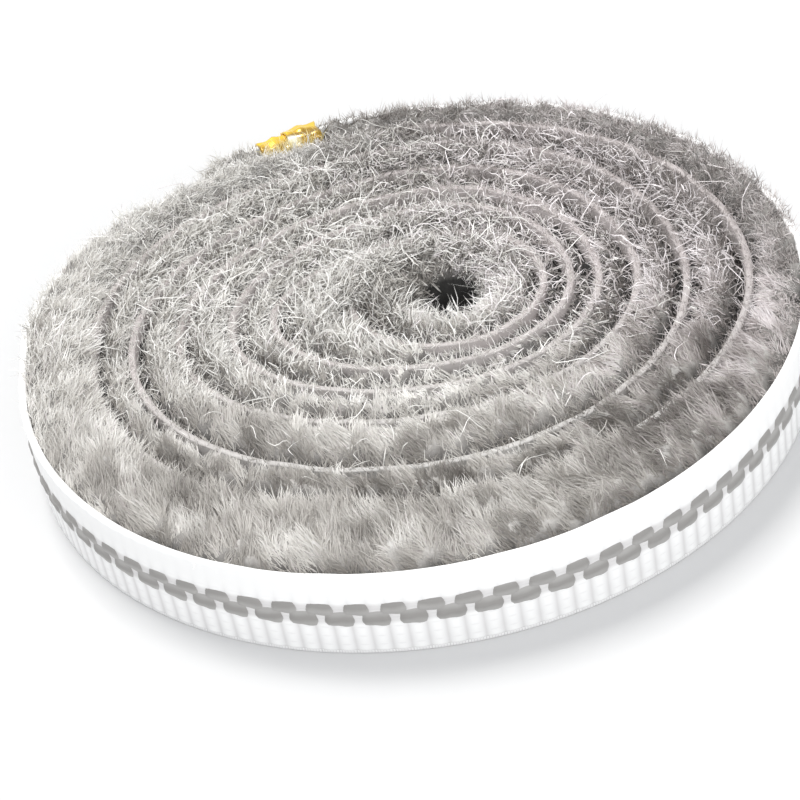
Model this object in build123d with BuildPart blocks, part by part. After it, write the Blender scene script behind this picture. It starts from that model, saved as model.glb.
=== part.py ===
"""Roll of self-adhesive pile weatherstrip, lying flat.

A woven backing tape with a dense pile on one face is wound by hand into a flat roll, pile
inwards, round a small open bore. A foil twist tie goes twice round the outermost turn and
holds the strip's outer end down. Millimetres, +Z up, origin on the bore's axis at the floor,
+X to the right and +Y to the back of the roll.
"""
import math
import os

from build123d import *

# The strip: tape across its width, tape through its thickness, and the pile that stands
# proud of the tape's upper edge.
tape_width = 9.0
tape_thickness = 0.8
pile_crown = 1.1
pile_edge_radius = 0.4
tip_gap = 0.3
bore_radius = 3.0

# The groove along the roots, where the pile leans away from its own tape.
groove_width = 0.7
groove_depth = 0.8

# The least flat between the crown's two rounded edges, where the turns crowd.
crown_flat = 0.08

# The roll: from the bore's axis to the tape's back on each side, outermost turn first.
# The turns were wound by hand, so they crowd at the right and stand loose at the front.
# The winding spread is 1 as photographed; above 1 all the turns stand looser.
winding_spread = 1.0
behind = (37.4, 33.1, 29.3, 23.9, 19.7, 16.1, 10.5)
right = (35.2, 30.0, 23.9, 19.2, 15.4, 12.6, 9.9)
front = (41.8, 32.7, 27.7, 20.7, 16.3, 12.9, 10.1)
left = (44.4, 37.2, 33.2, 28.4, 23.0, 18.6, 10.6)
outer_turn_x = -4.8
outer_turn_y = -1.9
end_overlap_angle = 27.0

# Straight runs at the left, after the crossings named by number, where two turns sag outwards.
left_runs = {3: 6.0, 7: 3.0}

# The twist tie, wound twice round the outermost turn: the second lap lies partly on the first.
tie_angle = 14.5
tie_width = 3.8
tie_thickness = 0.35
tie_lap = 0.5
tie_clearance = 0.15
tie_floor_gap = 0.1
tie_corner_radius = 0.9
tie_height_over_tape = 0.2

# The tie's twisted ends, along the tape's back.
tail_length = 10.0
tail_width = 2.2
tail_thickness = 0.7
tail_twists = 1.5
tail_steps = 12
tail_spring = 0.25

quarter_turn = 90
full_turn = 4 * quarter_turn
BACK, RIGHT, FRONT, LEFT = range(4)
side_count = 4
start_angles = {BACK: 90, RIGHT: 0, FRONT: -90, LEFT: 180}
quarter_count = side_count * len(behind) - 1


def turn_point(index):
    """Centre coordinates and place of the tape's back where it crosses a side."""
    turn, side = divmod(index, side_count)
    drift = 1 - index / quarter_count
    x, y = outer_turn_x * drift, outer_turn_y * drift
    if side == BACK:
        return x, behind[turn] * winding_spread
    if side == RIGHT:
        return right[turn] * winding_spread, y
    if side == FRONT:
        return x, -front[turn] * winding_spread
    return -left[turn] * winding_spread, y


def quarter(index):
    """Centre and half axes of the quarter ellipse that runs to the next crossing."""
    here, there = turn_point(index), turn_point(index + 1)
    if index % side_count in (BACK, FRONT):
        centre = (here[0], there[1])
    else:
        centre = (there[0], here[1] + left_runs.get(index, 0))
        here = (here[0], centre[1])
    return centre, abs(here[0] - there[0]), abs(here[1] - there[1])


quarters = [quarter(index) for index in range(quarter_count)]
outer_centre = (turn_point(BACK)[0], turn_point(RIGHT)[1])
outer_radius = turn_point(BACK)[1] - outer_centre[1]


def draw_quarter(index, inset):
    """One clockwise quarter turn, inset from the tape's back towards the bore."""
    centre, x_radius, y_radius = quarters[index]
    if index in left_runs:
        far = centre[0] - x_radius + inset
        Line((far, centre[1] - left_runs[index]), (far, centre[1]))
    start = start_angles[index % side_count]
    return EllipticalCenterArc(
        centre, x_radius - inset, y_radius - inset, start, arc_size=-quarter_turn
    )


def draw_strip(inset):
    """The whole strip's line, inset from the tape's back: its first and last curves."""
    start = start_angles[BACK] + end_overlap_angle
    first = CenterArc(outer_centre, outer_radius - inset, start, -end_overlap_angle)
    for index in range(quarter_count):
        curve = draw_quarter(index, inset)
    return first, curve


def second_turn_distance(angle):
    """How far the second turn's back stands out in the tie's plane, at an angle past the back."""
    centre, x_radius, y_radius = quarters[LEFT]
    turn = math.radians(start_angles[BACK] + angle)
    x = centre[0] + x_radius * math.cos(turn) - outer_centre[0]
    y = centre[1] + y_radius * math.sin(turn) - outer_centre[1]
    facing = math.radians(start_angles[BACK] + tie_angle)
    return x * math.cos(facing) + y * math.sin(facing)


def draw_pile_outline(root_inset):
    """The pile's lines, from its roots' side to its tips on the next turn in."""
    root_start, root_end = draw_strip(root_inset)
    tips_start = EllipticalCenterArc(
        quarters[LEFT][0],
        quarters[LEFT][1] + tip_gap,
        quarters[LEFT][2] + tip_gap,
        start_angles[BACK] + end_overlap_angle,
        arc_size=-end_overlap_angle,
    )
    for index in range(LEFT + 1, quarter_count):
        tips_end = draw_quarter(index, -tip_gap)
    Line(root_start @ 0, tips_start @ 0)
    Line(root_end @ 1, tips_end @ 1)


def narrowest_crown():
    """Width of the pile's crown where two turns come closest."""
    sides = (behind, right, front, left)
    gaps = [outer - inner for side in sides for outer, inner in zip(side, side[1:])]
    return min(gaps) * winding_spread - tape_thickness - groove_width - tip_gap


def strip_length():
    """Length of the wound strip along the middle of the tape."""
    length = math.radians(end_overlap_angle) * (outer_radius - tape_thickness / 2)
    length += sum(left_runs.values())
    for _, x_radius, y_radius in quarters:
        mean = (x_radius + y_radius - tape_thickness) / 2
        length += math.radians(quarter_turn) * mean
    return length


# The tie's own plane stands on the outermost turn's radius: x outwards, y up.
tie_direction = math.radians(start_angles[BACK] + tie_angle)
outwards = (math.cos(tie_direction), math.sin(tie_direction), 0)
along = (math.sin(tie_direction), -math.cos(tie_direction), 0)
tie_plane = Plane(origin=(*outer_centre, 0), x_dir=outwards, z_dir=along)

# Both laps together, from edge to edge, and how far out the second turn comes beneath them.
lap_shift = (tie_width - tie_lap) / 2
half_span = lap_shift + tie_width / 2
span_angle = math.degrees(math.atan2(half_span, outer_radius))
second_turn_reach = max(
    second_turn_distance(tie_angle - span_angle), second_turn_distance(tie_angle + span_angle)
)

# The window is the space inside the first lap.
tie_stack = 2 * tie_thickness
window_inside = second_turn_reach + 2 * tie_clearance + tie_stack
window_outside = outer_radius + 2 * tie_clearance
window_bottom = tie_floor_gap + tie_stack
window_top = tape_width + tie_height_over_tape


def draw_window(grow, mode=Mode.ADD):
    """The window in the tie's plane, grown on every side."""
    middle = ((window_inside + window_outside) / 2, (window_bottom + window_top) / 2)
    width = window_outside - window_inside + 2 * grow
    height = window_top - window_bottom + 2 * grow
    with Locations(middle):
        RectangleRounded(width, height, tie_corner_radius + grow, mode=mode)


# The room that the tie's two laps press out of the strip.
with BuildPart() as tie_room:
    with BuildSketch(tie_plane):
        draw_window(tie_stack + tie_clearance)
        draw_window(-tie_clearance, mode=Mode.SUBTRACT)
    extrude(amount=half_span + tie_clearance, both=True)

# Woven backing tape, one ribbon from the outer end to the inner end.
with BuildPart() as backing_tape:
    with BuildSketch():
        with BuildLine():
            back_start, back_end = draw_strip(0)
            face_start, face_end = draw_strip(tape_thickness)
            Line(back_start @ 0, face_start @ 0)
            Line(back_end @ 1, face_end @ 1)
        make_face()
    extrude(amount=tape_width)
    add(tie_room.part, mode=Mode.SUBTRACT)
backing_tape.part.label = "backing_tape"

# Pile, from its roots on the tape to its tips on the next turn in, and round the bore. The
# crown's rounded edges are limited by the crown's own width.
edge_radius = min(pile_edge_radius, (narrowest_crown() - crown_flat) / 2)
with BuildPart() as pile:
    with BuildSketch():
        with BuildLine():
            draw_pile_outline(tape_thickness)
        make_face()
        Circle(bore_radius, mode=Mode.SUBTRACT)
    extrude(amount=tape_width - groove_depth)
    with BuildSketch(Plane.XY.offset(tape_width - groove_depth)):
        with BuildLine():
            draw_pile_outline(tape_thickness + groove_width)
        make_face()
        Circle(bore_radius, mode=Mode.SUBTRACT)
    extrude(amount=groove_depth + pile_crown)
    fillet(pile.edges().group_by(Axis.Z)[-1], edge_radius)
    add(tie_room.part, mode=Mode.SUBTRACT)
pile.part.label = "pile"

# Foil twist tie: two laps round the strip, and the ends twisted together behind the roll.
with BuildPart() as twist_tie:
    for shift, lift in ((-lap_shift, 0), (lap_shift, tie_thickness)):
        with BuildSketch(tie_plane.offset(shift)):
            draw_window(lift + tie_thickness)
            draw_window(lift, mode=Mode.SUBTRACT)
        extrude(amount=tie_width / 2, both=True)
    tail_sections = []
    for step in range(tail_steps + 1):
        share = step / tail_steps
        lean = min(1, share / tail_spring)
        stand_off = tie_stack + lean * (tail_width + tail_thickness) / 2
        with BuildSketch(tie_plane.offset(half_span - tie_lap - share * tail_length)) as section:
            with Locations((window_outside + stand_off, (window_bottom + window_top) / 2)):
                Rectangle(tail_thickness, tail_width, rotation=full_turn * tail_twists * share)
        tail_sections.append(section.sketch)
    loft(tail_sections, ruled=True)
twist_tie.part.label = "twist_tie"

os.makedirs("parts", exist_ok=True)
for piece in (backing_tape, pile, twist_tie):
    export_step(piece.part, f"parts/{piece.part.label}.step")

print("strip length", round(strip_length()))
print("bore wall", bore_radius, tape_width + pile_crown - edge_radius)
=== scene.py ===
"""Looks for a flat roll of pile weatherstrip: woven tape, brush pile and a gold foil tie.

Shapes are worked out in millimetres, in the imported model's frame, and written in metres.
A place on the strip is a quarter turn q, counted inwards from the outer end's crossing at the
back, and a share u of the way from the tape's face to the next turn in.
"""

import math

import bpy
import numpy as np
from mathutils import Matrix, Vector
from numpy.linalg import norm
from numpy.random import default_rng

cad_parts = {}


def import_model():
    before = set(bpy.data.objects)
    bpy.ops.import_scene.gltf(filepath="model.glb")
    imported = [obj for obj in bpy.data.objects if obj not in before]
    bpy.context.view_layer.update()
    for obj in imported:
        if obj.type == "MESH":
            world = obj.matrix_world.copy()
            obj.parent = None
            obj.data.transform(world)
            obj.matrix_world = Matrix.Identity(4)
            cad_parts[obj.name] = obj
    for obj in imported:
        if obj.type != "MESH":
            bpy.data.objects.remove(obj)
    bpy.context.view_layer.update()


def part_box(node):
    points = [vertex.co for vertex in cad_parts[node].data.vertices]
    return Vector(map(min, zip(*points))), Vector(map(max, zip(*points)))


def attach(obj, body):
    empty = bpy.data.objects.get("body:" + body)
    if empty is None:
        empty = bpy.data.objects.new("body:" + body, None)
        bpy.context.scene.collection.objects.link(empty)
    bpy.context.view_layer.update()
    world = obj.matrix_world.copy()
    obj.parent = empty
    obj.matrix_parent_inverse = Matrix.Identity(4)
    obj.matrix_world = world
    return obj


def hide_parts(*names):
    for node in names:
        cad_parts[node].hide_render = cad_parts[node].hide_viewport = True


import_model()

scene = bpy.context.scene
MM = 0.001
BODY = "root"

# The strip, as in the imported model.
tape_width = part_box("backing_tape")[1].z / MM
tape_thickness = 0.8
tip_gap = 0.3
bore_radius = 3.0

# The tape's back on each side, outermost turn first, from the bore's axis.
behind = (37.4, 33.1, 29.3, 23.9, 19.7, 16.1, 10.5)
right = (35.2, 30.0, 23.9, 19.2, 15.4, 12.6, 9.9)
front = (41.8, 32.7, 27.7, 20.7, 16.3, 12.9, 10.1)
left = (44.4, 37.2, 33.2, 28.4, 23.0, 18.6, 10.6)
outer_turn_x = -4.8
outer_turn_y = -1.9
end_overlap_angle = 27.0
left_runs = {3: 6.0, 7: 3.0}
run_share = 0.1

# The tie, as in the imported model.
tie_angle = 14.5
tie_width = 3.8
tie_thickness = 0.35
tie_lap = 0.5
tie_clearance = 0.15
tie_floor_gap = 0.1
tie_corner_radius = 0.9
tie_height_over_tape = 0.2
tail_length = 10.0
tail_width = 2.2
tail_thickness = 0.7
tail_twists = 1.5
tail_spring = 0.25
lap_girth = 40.0

# Weave of the tape's back: a stitch every two ribs, in two rows.
rib_pitch = 1.66
stitch_pitch = 2 * rib_pitch
stitch_start = 1.83
stitch_rows = ((4.17, 1.75, 2.9, 0.0), (5.3, 1.4, 2.65, 0.5))
weft_pitch = 1.05
weave_depth = 0.12

# Millimetres to one unit of the map that the weave reads.
map_unit = 10.0

# From here inwards the tape's upper edge lies between turns, and from a full turn past the
# free end the whole tape does.
edge_wound_in = 3.35
past_free_end = 4.02

# The outermost turn's pile reaches to here, in quarter turns.
outer_turn_stop = 3.3

# Where the tape's upper edge shows between the turns, in quarter turns, and how clearly;
# elsewhere tufts of the turn outside it lie over it.
bare_spans = (
    (1.05, 3.2, 1.0),
    (4.4, 5.45, 0.5),
    (8.4, 9.45, 0.65),
    (9.8, 11.15, 0.75),
    (12.6, 13.8, 0.5),
    (18.7, 19.3, 0.6),
    (22.7, 23.4, 0.6),
    (26.35, 27.5, 0.55),
)
fade = 0.15

# Stretches, in quarter turns: where the outermost pile's tips stand up and hide the next turn's
# tape, where pale fluff blurs the tape's edge, and where the outermost pile lies close at the
# left and pale at the right.
ragged = (1.4, 1.8, 3.0, 3.5)
soft_line = (9.4, 9.9, 11.0, 11.5)
left_edge = (2.45, 2.8, 3.5, 3.8)
right_edge = (0.35, 0.8, 1.35, 1.7)

# Where the foil's fold catches the light: a painted highlight.
painted_foil_highlight = (-13.8, 33.5, 9.75)
painted_foil_highlight_radius = 1.3

# Camera, as fitted to the roll's rims in the photograph.
camera_middle = (-4.8, -1.9)
camera_distance = 220.5
camera_elevation = 36.76
camera_roll = -11.27
camera_aim = (-2.3, -3.27)
focal_length = 96.57
sensor_width = 36.0


def crossing(index):
    """Centre coordinates and place of the tape's back where it crosses a side."""
    turn, side = divmod(index, 4)
    drift = 1 - index / (4 * len(behind) - 1)
    x, y = outer_turn_x * drift, outer_turn_y * drift
    places = ((x, behind[turn]), (right[turn], y), (x, -front[turn]), (-left[turn], y))
    return places[side]


def quarter(index):
    """Centre, half axes and straight run of the quarter turn between two crossings."""
    here, there = crossing(index), crossing(index + 1)
    run = left_runs.get(index, 0.0)
    x, y = (here[0], there[1]) if index % 2 == 0 else (there[0], here[1] + run)
    return x, y, abs(here[0] - there[0]), abs(there[1] - here[1] - run), run


quarters = np.array([quarter(index) for index in range(4 * len(behind) - 1)])
last_quarter = len(quarters) - 1
inner_end = float(len(quarters))
outer_end = -end_overlap_angle / 90
last_turn = inner_end - 4
outer_centre = quarters[0, :2]
outer_radius = quarters[0, 3]


def place_and_heading(q, grow=0.0):
    """Points on the tape's back, moved outwards by grow, and the unit vectors along it."""
    index = np.clip(np.floor(q).astype(int), 0, last_quarter)
    run = quarters[index, 4]
    share = q - index
    straight = (run > 0) & (share < run_share)
    turned = np.where(run > 0, np.clip((share - run_share) / (1 - run_share), 0, 1), share)
    angle = math.pi / 2 * (1 - index % 4 - turned)
    x_radius = np.where(q < 0, outer_radius, quarters[index, 2]) + grow
    y_radius = quarters[index, 3] + grow
    x = quarters[index, 0] + x_radius * np.cos(angle)
    y = quarters[index, 1] + y_radius * np.sin(angle)
    y = y - np.where(straight, run * (1 - share / run_share), 0.0)
    heading = np.stack((x_radius * np.sin(angle), -y_radius * np.cos(angle)), axis=-1)
    return np.stack((x, y), axis=-1), heading / norm(heading, axis=-1, keepdims=True)


def inward(heading):
    """The unit vectors towards the bore's side of the strip."""
    return np.stack((heading[..., 1], -heading[..., 0]), axis=-1)


def pile_edges(q):
    """Points at the pile's roots and at its tips, on the next turn in or round the bore."""
    root = place_and_heading(q, -tape_thickness)[0]
    next_turn = place_and_heading(np.minimum(q + 4, inner_end), tip_gap)[0]
    bore = root / norm(root, axis=-1, keepdims=True) * bore_radius
    tips = np.where((q > last_turn)[..., None], bore, next_turn)
    return root, tips


# Length along the strip for each quarter turn.
table_q = np.linspace(outer_end, inner_end, 8000)
table_steps = norm(np.diff(place_and_heading(table_q)[0], axis=0), axis=-1)
table_s = np.concatenate(([0.0], np.cumsum(table_steps)))


def along(q):
    """Millimetres along the strip, from its outer end."""
    return np.interp(q, table_q, table_s)


def stations(start, stop, step):
    """Quarter turns that are step millimetres apart along the strip."""
    count = int((along(stop) - along(start)) / step) + 2
    return np.interp(np.linspace(along(start), along(stop), count), table_s, table_q)


def ripple(x, y, wavelength, seed, waves=14):
    """Smooth noise, mostly from -1 to 1: a sum of waves that run all ways."""
    draw = default_rng(seed)
    total = np.zeros(np.broadcast(x, y).shape)
    for _ in range(waves):
        heading = draw.uniform(0, 2 * math.pi)
        pitch = 2 * math.pi / (wavelength * draw.uniform(0.6, 1.6))
        phase = draw.uniform(0, 6.3)
        total += np.sin(pitch * (x * math.cos(heading) + y * math.sin(heading)) + phase)
    return total / math.sqrt(waves / 2) * 0.7


def unit(vectors):
    """The vectors, each with length 1."""
    return vectors / np.maximum(norm(vectors, axis=-1, keepdims=True), 1e-9)


def ease(value, low, high):
    """0 below low, 1 above high, and a smooth rise between."""
    share = np.clip((value - low) / (high - low), 0, 1)
    return share * share * (3 - 2 * share)


def ebb(value, low, high):
    """1 below low, 0 above high, and a smooth fall between."""
    return 1 - ease(value, low, high)


def stretch(q, rise_low, rise_high, fall_low, fall_high):
    """1 along a stretch of the strip, 0 elsewhere."""
    return ease(q, rise_low, rise_high) * ebb(q, fall_low, fall_high)


def bare(q):
    """1 where the tape's upper edge shows clear, 0 where tufts lie over it."""
    shown = np.zeros(np.shape(q))
    for start, stop, share in bare_spans:
        rise = ease(q, start - fade, start + fade)
        fall = ease(q, stop - fade, stop + fade)
        shown = np.maximum(shown, share * (rise - fall))
    return shown


# Materials.


class Looks:
    """The nodes of a material or of the world."""

    def __init__(self, owner):
        owner.use_nodes = True
        self.owner = owner
        self.nodes = owner.node_tree.nodes
        self.links = owner.node_tree.links

    def join(self, value, socket):
        """Link a socket's value, or set a constant."""
        if isinstance(value, bpy.types.NodeSocket):
            self.links.new(value, socket)
        else:
            socket.default_value = value

    def fill(self, node, **values):
        """Join values to a node's inputs; an underscore stands for a space in a name."""
        for name, value in values.items():
            self.join(value, node.inputs[name.replace("_", " ")])

    def add(self, kind, **values):
        """A new node of a kind, with its inputs."""
        node = self.nodes.new("ShaderNode" + kind)
        self.fill(node, **values)
        return node

    def math(self, operation, *values, kind="Math"):
        """The output of a maths node."""
        node = self.add(kind)
        node.operation = operation
        for value, socket in zip(values, node.inputs):
            self.join(value, socket)
        return node.outputs["Value"]

    def ramp(self, value, *stops, steps=False):
        """A colour ramp's output. A stop is a place and a colour, or a place and one grey."""
        node = self.add("ValToRGB", Fac=value)
        elements = node.color_ramp.elements
        while len(elements) < len(stops):
            elements.new(0.5)
        for element, (position, colour) in zip(elements, stops):
            element.position = position
            element.color = (*(colour if isinstance(colour, tuple) else (colour,) * 3), 1)
        if steps:
            node.color_ramp.interpolation = "CONSTANT"
        return node.outputs["Color"]

    def mix(self, first, second, factor, blend="MIX"):
        """The mix of two colours."""
        node = self.add("Mix")
        node.data_type = "RGBA"
        node.blend_type = blend
        self.fill(node, Factor=factor, A=first, B=second)
        return node.outputs["Result"]

    def multiply(self, first, second):
        """The product of two colours."""
        return self.mix(first, second, 1, "MULTIPLY")

    def map(self, name):
        """Places on one of the mesh's maps."""
        node = self.add("UVMap")
        node.uv_map = name
        return node.outputs["UV"]

    def place(self):
        """Places on the object."""
        return self.add("TexCoord").outputs["Object"]

    def split(self, vector):
        """The three parts of a vector."""
        return self.add("SeparateXYZ", Vector=vector).outputs

    def yarn(self, **settings):
        """Fine yarn along the strip."""
        node = self.add("TexWave", Vector=self.map("strip"), **settings)
        node.bands_direction = "Y"
        return node.outputs["Fac"]

    def finish(self, height, strength, distance, **settings):
        """The material, with a bump and the last of the shader's inputs."""
        bump = self.add("Bump", Height=height, Strength=strength, Distance=distance)
        self.fill(self.shader, Normal=bump.outputs["Normal"], **settings)
        return self.owner


def new_looks(name, **settings):
    """A new material with a Principled shader."""
    look = Looks(bpy.data.materials.new(name))
    look.shader = look.nodes["Principled BSDF"]
    look.fill(look.shader, **settings)
    return look


def fibre_material():
    """Pile yarn. Across its map: three tints, each from root to tip, darker at the root as
    painted shade. Up its map: brightness, which carries painted light and shade.
    """
    look = new_looks("pile_fibre", Roughness=0.45, Sheen_Weight=0.3, Sheen_Roughness=0.4)
    across, up, _ = look.split(look.map("OFBake"))
    run = look.math("FRACT", look.math("MULTIPLY", across, 3.0))
    shade = look.ramp(
        up,
        (0.0, (0.24, 0.225, 0.21)),
        (0.25, (0.54, 0.52, 0.50)),
        (0.5, (0.83, 0.82, 0.805)),
        (0.75, (0.95, 0.945, 0.94)),
        (1.0, 0.99),
    )
    # Painted shade at the roots: each fibre darker towards its root.
    length = look.ramp(run, (0.0, (0.45, 0.43, 0.41)), (0.4, (0.88, 0.88, 0.87)), (0.8, 1.0))
    # Tints: warm, cool with the painted shade at the right, and gold as a painted reflection of the
    # foil.
    tints = ((0.0, (1.0, 0.985, 0.96)), (0.333, (1.0, 0.95, 0.965)), (0.667, (1.0, 0.86, 0.42)))
    tint = look.ramp(across, *tints, steps=True)
    look.fill(look.shader, Base_Color=look.multiply(look.multiply(shade, length), tint))
    return look.owner


def pile_body_material():
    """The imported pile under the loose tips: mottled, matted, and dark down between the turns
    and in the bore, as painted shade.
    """
    look = new_looks("pile_body", Roughness=0.85)
    place = look.place()
    _, y, z = look.split(place)
    mottle = look.add("TexNoise", Vector=place, Scale=900, Detail=6)
    matted = look.add("TexNoise", Vector=place, Scale=4200, Detail=3, Distortion=1.5)
    # Painted shade: near black from low in the groove up to just under the tape's edge.
    painted_depth_shade = look.ramp(
        look.math("DIVIDE", z, 12 * MM),
        (0.0, 1.0),
        (0.07, 0.9),
        (0.2, 0.10),
        (0.64, 0.10),
        (0.76, (0.7, 0.69, 0.68)),
        (0.85, 1.0),
    )
    shade = look.ramp(mottle.outputs["Fac"], (0.3, (0.50, 0.48, 0.46)), (0.7, (0.78, 0.76, 0.74)))
    paler = look.ramp(look.math("MULTIPLY", y, -1 / (50 * MM)), (0.2, 0.68), (0.6, 1.0))
    colour = look.multiply(look.multiply(shade, painted_depth_shade), paler)
    return look.finish(matted.outputs["Fac"], 0.7, 0.0002, Base_Color=colour)


def tape_material():
    """White polypropylene weave: fine yarn as bump, a faint pinkish grey painted shade between
    ribs, and painted shade where the tape is wound in between the turns.
    """
    look = new_looks("woven_tape", Roughness=0.55, Sheen_Weight=0.1)
    far, up, _ = look.split(look.map("strip"))
    # Painted shade: pinkish grey in the grooves between the ribs and wefts, strongest low on the
    # back.
    rib = look.math("COSINE", look.math("MULTIPLY", far, math.pi * map_unit / rib_pitch))
    rib_groove = look.math("SUBTRACT", 1, look.math("ABSOLUTE", rib))
    weft = look.math("SINE", look.math("MULTIPLY", up, math.pi * map_unit / weft_pitch))
    weft_groove = look.math("SUBTRACT", 1, look.math("ABSOLUTE", weft))
    weft_part = look.math("MULTIPLY", look.math("POWER", weft_groove, 3.0), 0.45)
    groove = look.math("MAXIMUM", rib_groove, weft_part)
    zones = ((0.0, 1.0), (0.31, 1.0), (0.34, 0.9), (0.56, 0.9), (0.64, 0.3), (0.72, 0.05))
    painted_groove_shade = look.math("MULTIPLY", groove, look.ramp(up, *zones))
    shades = ((0.0, (0.95, 0.948, 0.945)), (0.5, (0.85, 0.845, 0.845)), (1.0, (0.72, 0.71, 0.71)))
    shade = look.ramp(painted_groove_shade, *shades)
    between_stitches = (0.78, 0.77, 0.77)
    yarn_shades = ((0.34, 1.0), (0.38, between_stitches), (0.56, between_stitches), (0.6, 1.0))
    behind_yarn = look.ramp(up, *yarn_shades)
    # Painted shade on the tape where it is wound in between the turns, darker towards the back.
    past_left = look.math("GREATER_THAN", far, along(edge_wound_in) / map_unit)
    over_back = look.math("GREATER_THAN", up, tape_width / map_unit - 0.02)
    covered = look.math("GREATER_THAN", far, along(outer_end + past_free_end) / map_unit)
    wound_in = look.math("MAXIMUM", look.math("MULTIPLY", past_left, over_back), covered)
    forward = look.math("MULTIPLY", look.split(look.place())["Y"], -1 / (40 * MM))
    painted_wound_in_shade = look.ramp(forward, (0.1, (0.50, 0.455, 0.45)), (0.7, (0.60, 0.585, 0.57)))
    colour = look.multiply(shade, behind_yarn)
    colour = look.multiply(colour, look.mix((1, 1, 1, 1), painted_wound_in_shade, wound_in))
    threads = look.yarn(Scale=1.6, Distortion=1.2, Detail=2)
    return look.finish(threads, 0.25, 0.0001, Base_Color=colour)


def stitch_material():
    """Grey pile yarn where it passes over the tape's back, with its strands along the strip."""
    look = new_looks("pile_stitch", Roughness=0.6)
    strands = look.yarn(Scale=2.2, Distortion=2.5, Detail=3)
    shade = look.ramp(strands, (0.1, (0.30, 0.29, 0.28)), (0.9, (0.40, 0.39, 0.38)))
    return look.finish(strands, 0.4, 0.0001, Base_Color=shade)


def foil_material():
    """Gold metallised film, finely creased, with painted brown shade in its fold and a painted
    highlight where it gleams.
    """
    look = new_looks("gold_foil", Metallic=0.45, Coat_Weight=0.6, Coat_Roughness=0.08)
    place = look.place()
    crease = look.add("TexVoronoi", Vector=place, Scale=600)
    crease.feature = "DISTANCE_TO_EDGE"
    cloud = look.add("TexNoise", Vector=place, Scale=330, Detail=3).outputs["Fac"]
    out = look.math("DOT_PRODUCT", place, tie_out, kind="VectorMath")
    from_inside = look.math("SUBTRACT", out, fold_start * MM)
    share = look.math("DIVIDE", from_inside, (window_outside - window_inside) * MM)
    # Gold across the lap, with painted brown shade in the fold.
    shade = look.ramp(
        look.math("ADD", share, look.math("MULTIPLY_ADD", cloud, 0.9, -0.45)),
        (0.0, (0.42, 0.25, 0.01)),
        (0.3, (0.34, 0.19, 0.008)),
        (0.45, (0.72, 0.44, 0.015)),
        (0.62, (0.95, 0.66, 0.04)),
        (0.85, (0.90, 0.60, 0.03)),
    )
    # Painted highlight: a pale spot round the fold's gleam.
    far = look.math("DISTANCE", place, Vector(painted_foil_highlight) * MM, kind="VectorMath")
    near = look.ramp(look.math("DIVIDE", far, painted_foil_highlight_radius * MM), (0.5, 1.0), (0.95, 0.0))
    look.fill(look.shader, Roughness=look.ramp(cloud, (0.3, 0.18), (0.7, 0.34)))
    colour = look.mix(shade, (1.0, 0.98, 0.82, 1), near)
    return look.finish(crease.outputs["Distance"], 0.15, 0.0001, Base_Color=colour)


# Meshes.


def put(name, data):
    """A new object in the scene."""
    thing = bpy.data.objects.new(name, data)
    scene.collection.objects.link(thing)
    return thing


def mesh_piece(name, points, groups, material, slot, maps=None):
    """A smooth mesh of points in millimetres; each group's faces all have as many corners."""
    sizes = np.concatenate([np.full(len(group), group.shape[1]) for group in groups])
    corners = np.concatenate([group.ravel() for group in groups])
    mesh = bpy.data.meshes.new(name)
    mesh.vertices.add(len(points))
    mesh.vertices.foreach_set("co", (points * MM).astype(np.float32).ravel())
    mesh.loops.add(len(corners))
    mesh.loops.foreach_set("vertex_index", corners.astype(np.int32))
    mesh.polygons.add(len(sizes))
    mesh.polygons.foreach_set("loop_start", np.concatenate(([0], np.cumsum(sizes)[:-1])))
    mesh.polygons.foreach_set("use_smooth", np.ones(len(sizes), dtype=bool))
    for map_name, places in (maps or {}).items():
        layer = mesh.uv_layers.new(name=map_name)
        layer.data.foreach_set("uv", np.concatenate(places).astype(np.float32).ravel())
    mesh.update(calc_edges=True)
    mesh.materials.append(material)
    piece = put(name, mesh)
    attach(piece, BODY)
    return piece


def grid_faces(rows, columns, closed=True):
    """Quads of a grid of rows by columns points, closed round the columns or open."""
    row = np.arange(rows - 1)[:, None]
    column = np.arange(columns if closed else columns - 1)[None, :]
    following = (column + 1) % columns
    corners = (
        row * columns + column,
        row * columns + following,
        (row + 1) * columns + following,
        (row + 1) * columns + column,
    )
    return np.stack(np.broadcast_arrays(*corners), axis=-1).reshape(-1, 4)


def end_caps(rows, columns):
    """The two many-sided faces that close a grid's first and last rows."""
    ring = np.arange(columns)
    return np.stack((ring[::-1], (rows - 1) * columns + ring))


def joined(parts):
    """All the parts' points, and each part's faces with their numbers among them."""
    points, faces, count = [], [], 0
    for part_points, part_faces in parts:
        points.append(part_points)
        faces.append(part_faces + count)
        count += len(part_points)
    return np.concatenate(points), faces


def tie_lift(q):
    """How far the strip's lower edge is drawn up where the tie passes beneath it."""
    from_tie = (q + tie_angle / 90) * math.pi / 2 * outer_radius
    reach = tie_width + tie_clearance
    lift = tie_floor_gap + 2 * tie_thickness + tie_clearance
    return lift * ebb(np.abs(from_tie), reach, reach + 1.2)


def tape_section(back_rows, face_rows):
    """Depth from the back and height of the points round the tape's section."""
    corner = 0.12
    back = [(0.0, z) for z in np.linspace(corner / 2, tape_width - corner / 2, back_rows)]
    top = [(corner, tape_width), (tape_thickness / 2, tape_width + 0.02)]
    top.append((tape_thickness - corner, tape_width))
    face = [(tape_thickness, z) for z in np.linspace(tape_width - 0.1, 0.1, face_rows)]
    bottom = [(tape_thickness - corner, 0.0), (corner, 0.0)]
    return np.array(back + top + face + bottom)


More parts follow.
